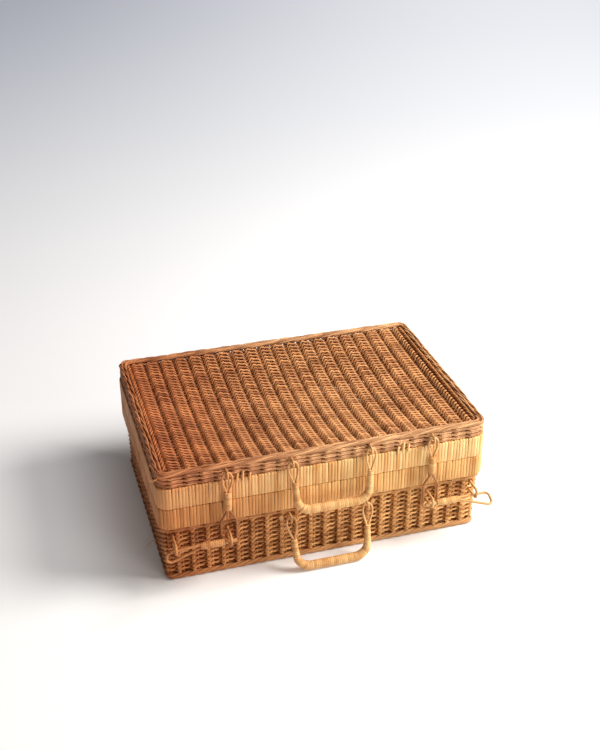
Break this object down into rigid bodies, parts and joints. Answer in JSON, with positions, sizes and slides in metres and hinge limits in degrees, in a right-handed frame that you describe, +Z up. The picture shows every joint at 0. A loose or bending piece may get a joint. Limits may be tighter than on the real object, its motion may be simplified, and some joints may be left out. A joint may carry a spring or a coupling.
{
  "type": "wicker basket",
  "caption": "Rectangular woven wicker hamper with a hinged sagging lid, wound cane carrying handles, and hasps held over staples by sliding cane pegs.",
  "frame": {"origin": "middle of the flat underside, on the surface that the basket stands on", "axes": "+X to the right along the length, -Y the front with the latches and handles, +Z up"},
  "size_m": [0.4435, 0.3425, 0.167],
  "materials": {
    "floor_weave": "matte",
    "side_weave": "matte",
    "foot_border": "matte",
    "base_waling": "matte",
    "lid_weave": "matte",
    "lid_waling": "matte",
    "lid_binding": "satin",
    "base_binding": "satin",
    "hoop_wood": "matte",
    "handle_binding": "satin",
    "thin_cane": "satin",
    "hinge_cane": "satin"
  },
  "bodies": {
    "base": {"base_floor": "floor_weave", "base_foot_border": "foot_border", "base_rim_hoop": "hoop_wood", "base_rim_wrap": "base_binding", "base_wale": "base_waling", "base_wall": "side_weave", "hinge_base_loops_left": "hinge_cane", "hinge_base_loops_right": "hinge_cane", "hinge_rod_left": "hinge_cane", "hinge_rod_right": "hinge_cane", "keeper_left": "thin_cane", "keeper_right": "thin_cane", "lower_handle_anchor_left": "thin_cane", "lower_handle_anchor_right": "thin_cane", "lower_handle_ring_left": "thin_cane", "lower_handle_ring_right": "thin_cane", "staple_left": "thin_cane", "staple_right": "thin_cane"},
    "lid": {"lid_panel": "lid_weave", "lid_side_cord_left": "lid_weave", "lid_side_cord_right": "lid_weave", "lid_wale": "lid_waling", "lid_border": "lid_waling", "lid_rim_hoop": "hoop_wood", "lid_rim_wrap": "lid_binding", "upper_handle_ring_left": "thin_cane", "upper_handle_ring_right": "thin_cane", "hasp_ring_left": "thin_cane", "hasp_ring_right": "thin_cane", "hinge_lid_loop_left": "hinge_cane", "hinge_lid_loop_right": "hinge_cane"},
    "upper_handle": {"upper_handle_core": "hoop_wood", "upper_handle_wrap": "handle_binding", "upper_handle_eye_left": "thin_cane", "upper_handle_eye_right": "thin_cane"},
    "lower_handle": {"lower_handle_core": "hoop_wood", "lower_handle_wrap": "handle_binding", "lower_handle_eye_left": "thin_cane", "lower_handle_eye_right": "thin_cane"},
    "hasp_left": {"hasp_left_eye": "thin_cane", "hasp_left_neck": "handle_binding", "hasp_left_bow": "thin_cane"},
    "hasp_right": {"hasp_right_eye": "thin_cane", "hasp_right_neck": "handle_binding", "hasp_right_bow": "thin_cane"},
    "peg_left": {"peg_left_pin": "thin_cane", "peg_left_wrap": "handle_binding", "peg_left_loop": "thin_cane"},
    "peg_right": {"peg_right_pin": "thin_cane", "peg_right_wrap": "handle_binding", "peg_right_loop": "thin_cane"}
  },
  "joints": [
    {"name": "lid_open", "type": "hinge", "parent": "base", "child": "lid", "pos_m": [0, 0.1565, 0.11465], "axis": [-1, 0, 0], "range_deg": [0, 110], "deforming": ["hasp_left_bow", "hasp_right_bow"]},
    {"name": "upper_handle_swing", "type": "hinge", "parent": "lid", "child": "upper_handle", "pos_m": [0.003, -0.1576, 0.156], "axis": [-1, 0, 0], "range_deg": [0, 165]},
    {"name": "lower_handle_swing", "type": "hinge", "parent": "base", "child": "lower_handle", "pos_m": [0.0005, -0.1576, 0.071], "axis": [-1, 0, 0], "range_deg": [0, 92]},
    {"name": "hasp_left_swing", "type": "hinge", "parent": "lid", "child": "hasp_left", "pos_m": [-0.133, -0.1576, 0.156], "axis": [-1, 0, 0], "range_deg": [0, 150]},
    {"name": "hasp_right_swing", "type": "hinge", "parent": "lid", "child": "hasp_right", "pos_m": [0.14, -0.1576, 0.156], "axis": [-1, 0, 0], "range_deg": [0, 150]},
    {"name": "peg_left_slide", "type": "slide", "parent": "base", "child": "peg_left", "axis": [-1, 0, 0], "range_m": [0, 0.012]},
    {"name": "peg_right_slide", "type": "slide", "parent": "base", "child": "peg_right", "axis": [1, 0, 0], "range_m": [0, 0.012]}
  ]
}
